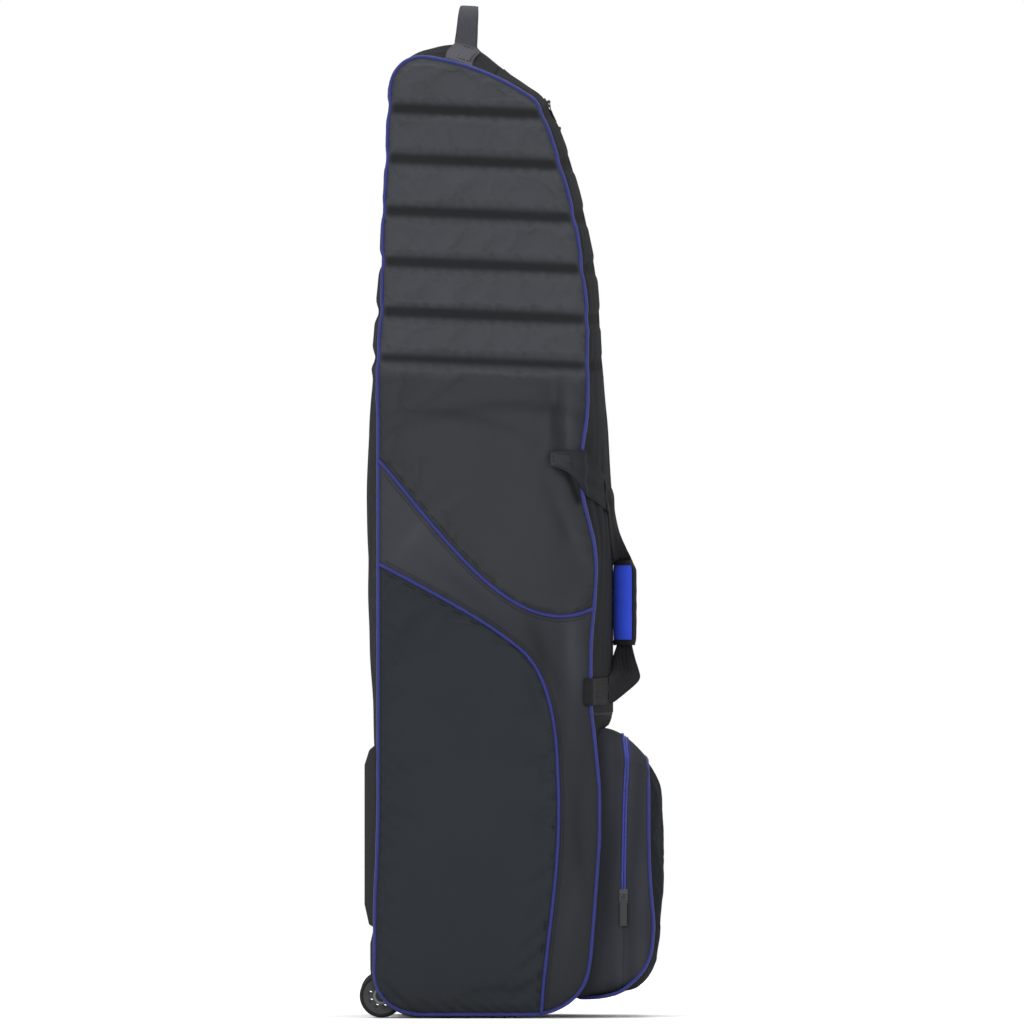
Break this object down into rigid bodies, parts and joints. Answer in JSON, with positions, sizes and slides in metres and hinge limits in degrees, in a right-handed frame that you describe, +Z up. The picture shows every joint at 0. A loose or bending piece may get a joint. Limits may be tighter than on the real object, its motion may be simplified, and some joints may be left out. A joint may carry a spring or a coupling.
{
  "type": "wheeled golf travel bag",
  "caption": "Tall soft travel bag for golf clubs with quilted padded top, piped seams, front pocket, carry and top handles, skid rails and in-line wheels.",
  "frame": {"origin": "on the ground below the middle of the bag's box", "axes": "+X towards the front with the pocket and the carry handle, +Z up along the bag, +Y towards the far side"},
  "size_m": [0.4048, 0.321, 1.355],
  "materials": {
    "charcoal_cloth": "matte",
    "grey_cloth": "matte",
    "dark_cloth": "matte",
    "base_cloth": "matte",
    "foam": "matte",
    "blue_piping": "satin",
    "blue_zip": "satin",
    "black_zip": "satin",
    "black_webbing": "matte",
    "grey_webbing": "matte",
    "blue_grip": "matte",
    "moulded_black": "satin",
    "board": "matte",
    "tyre_rubber": "matte",
    "hub_plastic": "satin",
    "steel": "satin",
    "black_metal": "satin",
    "grey_metal": "satin"
  },
  "bodies": {
    "root": {"side_panel_upper_near": "charcoal_cloth", "side_panel_upper_far": "charcoal_cloth", "side_panel_middle_near": "grey_cloth", "side_panel_middle_far": "grey_cloth", "side_panel_lower_near": "dark_cloth", "side_panel_lower_far": "dark_cloth", "foam_near": "foam", "foam_far": "foam", "piping_near": "blue_piping", "piping_far": "blue_piping", "trim_piping_near": "blue_piping", "trim_piping_far": "blue_piping", "back_panel": "charcoal_cloth", "top_panel": "charcoal_cloth", "gusset_near": "charcoal_cloth", "gusset_far": "charcoal_cloth", "lower_front_panel": "charcoal_cloth", "base_panel": "base_cloth", "base_board": "board", "back_board": "board", "zip_upper": "black_zip", "wheel_housing": "moulded_black", "axle_bolts": "steel", "axle_nuts": "steel", "axle_spacers": "steel", "rail_near": "moulded_black", "rail_far": "moulded_black", "rail_screws": "steel", "base_feet": "moulded_black", "pocket_tub": "dark_cloth", "pocket_tub_piping": "blue_piping", "pocket_zip_tub": "blue_zip", "strap_ends": "black_webbing", "top_handle_ends": "grey_webbing"},
    "wheel_near": {"tyre_near": "tyre_rubber", "hub_near": "hub_plastic", "bearings_near": "steel"},
    "wheel_far": {"tyre_far": "tyre_rubber", "hub_far": "hub_plastic", "bearings_far": "steel"},
    "pocket_lid": {"pocket_lid": "dark_cloth", "pocket_lid_piping": "blue_piping", "pocket_zip_lid": "blue_zip"},
    "pocket_slider": {"pocket_slider": "black_metal"},
    "pocket_pull": {"pocket_pull": "grey_metal"},
    "flap_near": {"flap_near": "charcoal_cloth", "zip_half_near": "black_zip", "flap_strap_near": "black_webbing"},
    "flap_far": {"flap_far": "charcoal_cloth", "zip_half_far": "black_zip", "flap_strap_far": "black_webbing"},
    "handle_near": {"handle_strap_near": "black_webbing", "grip_near": "blue_grip"},
    "handle_far": {"handle_strap_far": "black_webbing", "grip_far": "blue_grip"},
    "top_handle": {"top_handle": "grey_webbing"},
    "zip_slider_lower": {"zip_slider_lower": "black_metal"},
    "zip_pull_lower": {"zip_pull_lower": "grey_metal"},
    "zip_slider_upper": {"zip_slider_upper": "black_metal"},
    "zip_pull_upper": {"zip_pull_upper": "grey_metal"}
  },
  "joints": [
    {"name": "wheel_near_spin", "type": "hinge", "parent": "root", "child": "wheel_near", "pos_m": [-0.173, -0.116, 0.0294], "axis": [0, 1, 0], "continuous": true},
    {"name": "wheel_far_spin", "type": "hinge", "parent": "root", "child": "wheel_far", "pos_m": [-0.173, 0.116, 0.0294], "axis": [0, 1, 0], "continuous": true},
    {"name": "flap_near_open", "type": "hinge", "parent": "root", "child": "flap_near", "pos_m": [0.112, -0.15, 0.405], "axis": [0, 0, -1], "range_deg": [0, 95]},
    {"name": "flap_far_open", "type": "hinge", "parent": "root", "child": "flap_far", "pos_m": [0.112, 0.15, 0.405], "axis": [0, 0, 1], "range_deg": [0, 95]},
    {"name": "handle_near_lift", "type": "hinge", "parent": "flap_near", "child": "handle_near", "pos_m": [0.132, -0.074, 0.555], "axis": [0, 0, -1], "range_deg": [0, 60]},
    {"name": "handle_far_lift", "type": "hinge", "parent": "flap_far", "child": "handle_far", "pos_m": [0.132, 0.074, 0.555], "axis": [0, 0, 1], "range_deg": [0, 60]},
    {"name": "top_handle_fold", "type": "hinge", "parent": "root", "child": "top_handle", "pos_m": [-0.0585, 0, 1.2995], "axis": [0, 1, 0], "range_deg": [-45, 45]},
    {"name": "pocket_lid_open", "type": "hinge", "parent": "root", "child": "pocket_lid", "pos_m": [0.2028, 0, 0.124], "axis": [0, 1, 0], "range_deg": [0, 80]},
    {"name": "pocket_slider_travel", "type": "slide", "parent": "root", "child": "pocket_slider", "axis": [0, 0, 1], "range_m": [0, 0.15]},
    {"name": "pocket_pull_swing", "type": "hinge", "parent": "pocket_slider", "child": "pocket_pull", "pos_m": [0.151, -0.1328, 0.163], "axis": [-1, 0, 0], "range_deg": [0, 150]},
    {"name": "zip_slider_lower_travel", "type": "hinge", "parent": "root", "child": "zip_slider_lower", "pos_m": [-0.958, 0, 0.83], "axis": [0, 1, 0], "range_deg": [0, 18]},
    {"name": "zip_pull_lower_swing", "type": "hinge", "parent": "zip_slider_lower", "child": "zip_pull_lower", "pos_m": [0.0658, 0, 1.19255], "axis": [0, -1, 0], "range_deg": [0, 150]},
    {"name": "zip_slider_upper_travel", "type": "hinge", "parent": "root", "child": "zip_slider_upper", "pos_m": [0.00359, 0, 1.19912], "axis": [0, -1, 0], "range_deg": [0, 15]},
    {"name": "zip_pull_upper_swing", "type": "hinge", "parent": "zip_slider_upper", "child": "zip_pull_upper", "pos_m": [0.05142, 0, 1.22843], "axis": [0, -1, 0], "range_deg": [0, 150]}
  ]
}
